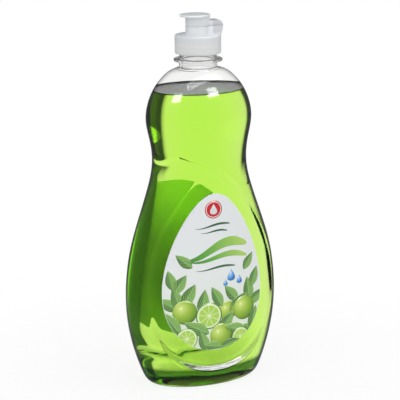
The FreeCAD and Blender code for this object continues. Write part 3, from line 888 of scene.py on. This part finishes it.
# Painted light on the turret and painted shade on the tower, above the deck
painted_light_gain = ease(nodes, links, x, *TOWER_FOOT)
painted_light_gain = calculate(nodes, links, "MULTIPLY_ADD", painted_light_gain, TURRET_PAINTED_LIGHT, TOWER_PAINTED_SHADE - 1)
painted_light_gain = calculate(nodes, links, "MULTIPLY_ADD", painted_light_gain, ease(nodes, links, z, *DECK), 1.0)
painted_light_white = nodes.new("ShaderNodeVectorMath")
painted_light_white.operation = "SCALE"
links.new(white, painted_light_white.inputs[0])
links.new(painted_light_gain, painted_light_white.inputs["Scale"])
links.new(painted_light_white.outputs["Vector"], shader.inputs["Base Color"])
add_grain(nodes, links, shader, 1800, 2.0, 0.02)
rough = calculate(nodes, links, "MULTIPLY_ADD", cloud.outputs["Fac"], 0.16, 0.24)
links.new(rough, shader.inputs["Roughness"])
shader.inputs["Subsurface Weight"].default_value = 0.5
shader.inputs["Subsurface Radius"].default_value = (1, 1, 1)
shader.inputs["Subsurface Scale"].default_value = 2.5 * MM

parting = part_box("flip_lid")[0][2]


def moulded_copy(node, name, body):
    """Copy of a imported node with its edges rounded, in the cap's plastic."""
    bm = bmesh.new()
    bm.from_mesh(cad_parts[node].data)
    bmesh.ops.remove_doubles(bm, verts=bm.verts, dist=0.001 * MM)
    bmesh.ops.dissolve_limit(bm, angle_limit=FLAT_ANGLE, verts=bm.verts, edges=bm.edges)
    for at_parting, rounding in ((True, PARTING_ROUND), (False, EDGE_ROUND)):
        sharp = [edge for edge in bm.edges if edge.is_manifold and edge.calc_face_angle(0) > EDGE_ANGLE]
        sharp = [edge for edge in sharp if at_parting == all(
            abs(vert.co.z - parting) < PARTING_REACH * MM for vert in edge.verts)]
        bmesh.ops.bevel(bm, geom=sharp, offset=rounding * MM, segments=3, profile=0.5, affect="EDGES",
                        clamp_overlap=True, material=-1)
    bmesh.ops.recalc_face_normals(bm, faces=bm.faces)
    piece = finish_mesh(bm, name, body, cap_plastic)
    piece.data.set_sharp_from_angle(angle=SHARP_ANGLE)
    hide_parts(node)


moulded_copy("cap_base", "screw_cap", "cap")
moulded_copy("flip_lid", "flip_top", "lid")

# Floor: a plain pale disc that fades into the white behind it. Seen through the bottle it is dark
# close to the foot, as the floor under a bottle is.

FLOOR_RADIUS = 250.0
SHADE_RADIUS = 80.0
SHADE = 0.85
# Distances from the middle at which the floor starts to show through the bottle, and shows in full
FLOOR_THROUGH = (70.0 * MM, 150.0 * MM)
FLOOR_IN_GLOSS = 0.9
ROOM_IN_GLOSS = 0.12
THROWN_LIGHT = 0.12


def thrown_light(nodes, links, ray):
    """Level of what is seen through the bottle. Light that goes straight through it meets four
    faces. Light that meets more has been thrown about inside, and comes from dim sides of a room."""
    thrown = ease(nodes, links, ray.outputs["Ray Depth"], 5.0, 6.0)
    straight = calculate(nodes, links, "LESS_THAN", ray.outputs["Diffuse Depth"], 0.5)
    thrown = calculate(nodes, links, "MULTIPLY", thrown, straight)
    return calculate(nodes, links, "MULTIPLY_ADD", thrown, THROWN_LIGHT - 1, 1.0)


def mirrored_ray(nodes, links, ray):
    """Is 1 for a ray that gloss mirrors. A ray that a clear face lets through counts as glossy too."""
    through = ray.outputs["Is Transmission Ray"]
    mirrored = calculate(nodes, links, "SUBTRACT", ray.outputs["Is Glossy Ray"], through)
    return calculate(nodes, links, "MAXIMUM", mirrored, 0.0)


floor_paint, nodes, links, shader = new_material("floor_paint")
shader.inputs["Base Color"].default_value = (0.9, 0.9, 0.9, 1)
shader.inputs["Roughness"].default_value = 0.9
ray = nodes.new("ShaderNodeLightPath")
coords = nodes.new("ShaderNodeTexCoord")
reach = nodes.new("ShaderNodeVectorMath")
reach.operation = "LENGTH"
links.new(coords.outputs["Object"], reach.inputs[0])
fade = nodes.new("ShaderNodeMapRange")
fade.inputs["From Min"].default_value = SHADE_RADIUS * MM
fade.inputs["From Max"].default_value = 0.95 * FLOOR_RADIUS * MM
fade.inputs["To Min"].default_value = SHADE
fade.inputs["To Max"].default_value = 1.0
links.new(reach.outputs["Value"], fade.inputs["Value"])
through = ease(nodes, links, reach.outputs["Value"], *FLOOR_THROUGH)
through = calculate(nodes, links, "MULTIPLY", ray.outputs["Is Transmission Ray"], through)
seen = calculate(nodes, links, "MULTIPLY", ray.outputs["Is Camera Ray"], fade.outputs["Result"])
mirrored = mirrored_ray(nodes, links, ray)
share = calculate(nodes, links, "MULTIPLY_ADD", mirrored, FLOOR_IN_GLOSS, calculate(
    nodes, links, "ADD", seen, through))
level = calculate(nodes, links, "MULTIPLY_ADD", mirrored, ROOM_IN_GLOSS - 1, 1.0)
level = calculate(nodes, links, "MULTIPLY", level, thrown_light(nodes, links, ray))
glow = nodes.new("ShaderNodeEmission")
links.new(level, glow.inputs["Strength"])
mix = nodes.new("ShaderNodeMixShader")
links.new(share, mix.inputs["Fac"])
links.new(shader.outputs["BSDF"], mix.inputs[1])
links.new(glow.outputs["Emission"], mix.inputs[2])
links.new(mix.outputs["Shader"], nodes["Material Output"].inputs["Surface"])

bm = bmesh.new()
bmesh.ops.create_circle(bm, cap_ends=True, radius=FLOOR_RADIUS * MM, segments=96)
floor_mesh = bpy.data.meshes.new("floor")
bm.to_mesh(floor_mesh)
bm.free()
floor_mesh.materials.append(floor_paint)
floor = bpy.data.objects.new("floor", floor_mesh)
bpy.context.scene.collection.objects.link(floor)
floor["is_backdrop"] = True

# World: the room round the bottle. It is white behind the bottle and through it, gives a softer
# light on it, and is dim in its gloss.

DAYLIGHT = 0.64

world = bpy.data.worlds.new("studio")
bpy.context.scene.world = world
world.use_nodes = True
nodes, links = world.node_tree.nodes, world.node_tree.links
sky = nodes["Background"]
sky.inputs["Color"].default_value = (1, 1, 1, 1)
ray = nodes.new("ShaderNodeLightPath")
seen = calculate(nodes, links, "MAXIMUM", ray.outputs["Is Camera Ray"], ray.outputs["Is Transmission Ray"])
level = calculate(nodes, links, "MULTIPLY_ADD", seen, 1 - DAYLIGHT, DAYLIGHT)
mirrored = mirrored_ray(nodes, links, ray)
level = calculate(nodes, links, "MULTIPLY_ADD", mirrored, ROOM_IN_GLOSS - DAYLIGHT, level)
level = calculate(nodes, links, "MULTIPLY", level, thrown_light(nodes, links, ray))
links.new(level, sky.inputs["Strength"])

# Lamps: two soft boxes in front, left and right of the camera, and a long one overhead show in the
# gloss. Two larger ones, in the places of the first two, only light the bottle.

LAMP_DISTANCE = 1500.0
LAMP_AIM = Vector((0, 0, 130.0 * MM))


def soft_box(name, turn, rise, width, height, power, shows):
    """Soft box aimed at the bottle, its turn and rise in degrees, its size in metres and its power in
    watts. One that shows is seen in gloss alone, and the others only light."""
    lamp = bpy.data.lights.new(name, "AREA")
    lamp.shape = "RECTANGLE"
    lamp.size, lamp.size_y = width, height
    lamp.energy = power
    thing = bpy.data.objects.new(name, lamp)
    turn, rise = math.radians(turn), math.radians(rise)
    away = Vector((math.sin(turn) * math.cos(rise), -math.cos(turn) * math.cos(rise), math.sin(rise)))
    thing.location = LAMP_AIM + away * LAMP_DISTANCE * MM
    thing.rotation_euler = away.to_track_quat("Z", "Y").to_euler()
    thing.visible_diffuse = not shows
    thing.visible_glossy = shows
    thing.visible_transmission = not shows
    bpy.context.scene.collection.objects.link(thing)


soft_box("left_box", -57, 33, 0.5, 0.42, 9, True)
soft_box("right_box", 26, 33, 0.5, 0.42, 26, True)
soft_box("top_box", 25, 68, 2.2, 0.6, 66, True)
soft_box("left_fill", -57, 33, 1.6, 1.6, 7, False)
soft_box("right_fill", 26, 33, 1.6, 1.6, 7.5, False)

bpy.context.scene.view_settings.view_transform = "Standard"

low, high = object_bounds()
